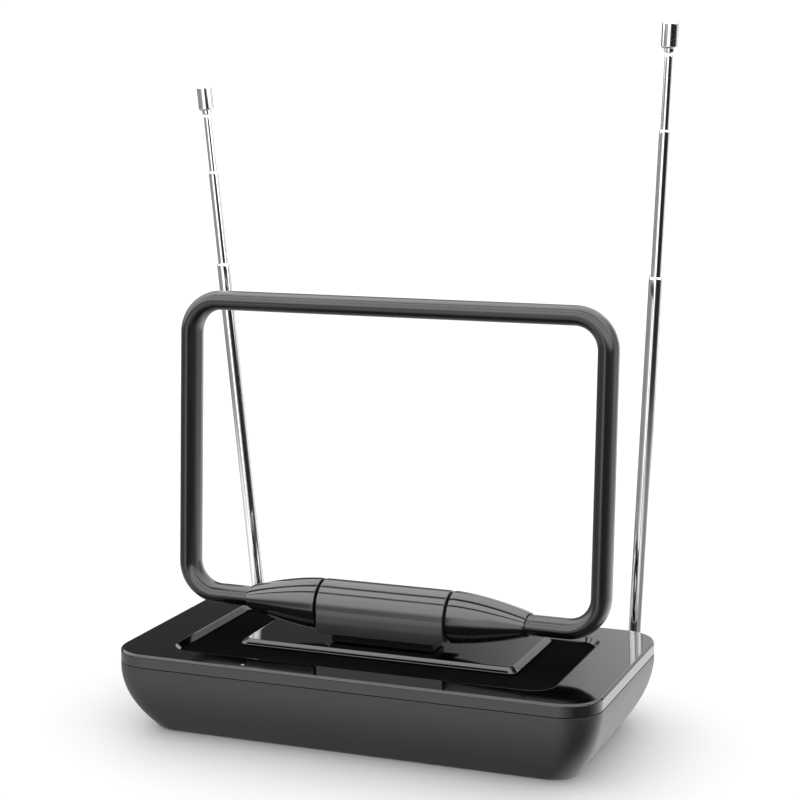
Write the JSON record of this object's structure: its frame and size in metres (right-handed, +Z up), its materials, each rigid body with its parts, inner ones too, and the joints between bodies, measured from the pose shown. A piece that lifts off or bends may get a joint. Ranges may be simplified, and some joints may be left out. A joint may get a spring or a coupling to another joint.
{
  "type": "indoor television aerial",
  "caption": "Tabletop rabbit-ears aerial: wide low base, tilting rounded loop on a barrel hinge and telescopic rods on swivels behind the base.",
  "frame": {"origin": "middle of the flat underside of the lower shell, on the surface it stands on", "axes": "+Z up, +X to the right seen from the front, +Y towards the back where the rods stand"},
  "size_m": [0.2239, 0.1226, 0.2958],
  "materials": {
    "satin_abs": "moulded satin black ABS, fine even texture",
    "gloss_abs": "mirror-gloss black ABS",
    "rubber": "matt black rubber",
    "chrome": "bright chrome plate on drawn brass tube",
    "nickel": "nickel-plated turned brass",
    "zinc_steel": "zinc-plated steel",
    "tinplate": "tinned sheet steel",
    "aluminium": "bare drawn wire",
    "board": "glass-epoxy board with green solder mask",
    "ferrite": "pressed and fired ferrite",
    "nylon": "natural moulded nylon",
    "clear": "frosted clear acrylic",
    "wire_grey": "grey PVC wire sleeve",
    "wire_red": "red PVC wire sleeve"
  },
  "bodies": {
    "base": {"ballast_plate": "zinc_steel", "barrel_housing": "satin_abs", "barrel_saddle": "satin_abs", "barrel_screw_left": "zinc_steel", "barrel_screw_right": "zinc_steel", "board_screw_left": "zinc_steel", "board_screw_right": "zinc_steel", "case_screw_back_left": "zinc_steel", "case_screw_back_right": "zinc_steel", "case_screw_front_left": "zinc_steel", "case_screw_front_right": "zinc_steel", "centre_deck": "gloss_abs", "circuit_board": "board", "coax_nut": "nickel", "coax_socket": "nickel", "dc_inlet": "satin_abs", "foot_pad_back_left": "rubber", "foot_pad_back_right": "rubber", "foot_pad_front_left": "rubber", "foot_pad_front_right": "rubber", "friction_spring": "zinc_steel", "friction_washer_left": "rubber", "friction_washer_right": "rubber", "indicator_led": "clear", "led_lead": "wire_grey", "light_pipe": "clear", "loop_lead_left": "wire_grey", "loop_lead_right": "wire_grey", "lower_shell": "satin_abs", "matching_transformer": "ferrite", "rod_lead_left": "wire_red", "rod_lead_right": "wire_red", "rod_lug_left": "tinplate", "rod_lug_right": "tinplate", "shield_can": "tinplate", "top_cover": "gloss_abs"},
    "loop": {"hinge_shaft": "nylon", "cone_left": "satin_abs", "cone_right": "satin_abs", "cone_screw_left": "zinc_steel", "cone_screw_right": "zinc_steel", "loop_tube": "satin_abs", "loop_conductor": "aluminium"},
    "swivel_left": {"swivel_stud_left": "nickel", "swivel_nut_left": "nickel", "hinge_pin_left": "nickel"},
    "rod_left": {"rod_foot_left": "nickel", "rod_lower_left": "chrome"},
    "middle_left": {"rod_middle_left": "chrome"},
    "top_left": {"rod_upper_left": "chrome", "rod_tip_left": "chrome"},
    "swivel_right": {"swivel_stud_right": "nickel", "swivel_nut_right": "nickel", "hinge_pin_right": "nickel"},
    "rod_right": {"rod_foot_right": "nickel", "rod_lower_right": "chrome"},
    "middle_right": {"rod_middle_right": "chrome"},
    "top_right": {"rod_upper_right": "chrome", "rod_tip_right": "chrome"}
  },
  "joints": [
    {"name": "loop_tilt", "type": "hinge", "parent": "base", "child": "loop", "pos_m": [0, -0.0015, 0.0505], "axis": [-1, 0, 0], "range_deg": [-93, 17]},
    {"name": "swing_left", "type": "hinge", "parent": "base", "child": "swivel_left", "pos_m": [-0.0902, 0.064, 0.021], "axis": [0, 1, 0], "range_deg": [-84.2, 15.8]},
    {"name": "fold_left", "type": "hinge", "parent": "swivel_left", "child": "rod_left", "pos_m": [-0.0902, 0.064, 0.021], "axis": [-0.9949, 0, -0.1011], "range_deg": [0, 90]},
    {"name": "middle_slide_left", "type": "slide", "parent": "rod_left", "child": "middle_left", "axis": [-0.1011, 0, 0.9949], "range_m": [-0.0415, 0.0955]},
    {"name": "upper_slide_left", "type": "slide", "parent": "middle_left", "child": "top_left", "axis": [-0.1011, 0, 0.9949], "range_m": [-0.0257, 0.1093]},
    {"name": "swing_right", "type": "hinge", "parent": "base", "child": "swivel_right", "pos_m": [0.0902, 0.064, 0.021], "axis": [0, 1, 0], "range_deg": [-12.3, 87.7]},
    {"name": "fold_right", "type": "hinge", "parent": "swivel_right", "child": "rod_right", "pos_m": [0.0902, 0.064, 0.021], "axis": [-0.9992, 0, 0.0401], "range_deg": [0, 90]},
    {"name": "middle_slide_right", "type": "slide", "parent": "rod_right", "child": "middle_right", "axis": [0.0401, 0, 0.9992], "range_m": [-0.061, 0.076]},
    {"name": "upper_slide_right", "type": "slide", "parent": "middle_right", "child": "top_right", "axis": [0.0401, 0, 0.9992], "range_m": [-0.0314, 0.1036]}
  ]
}
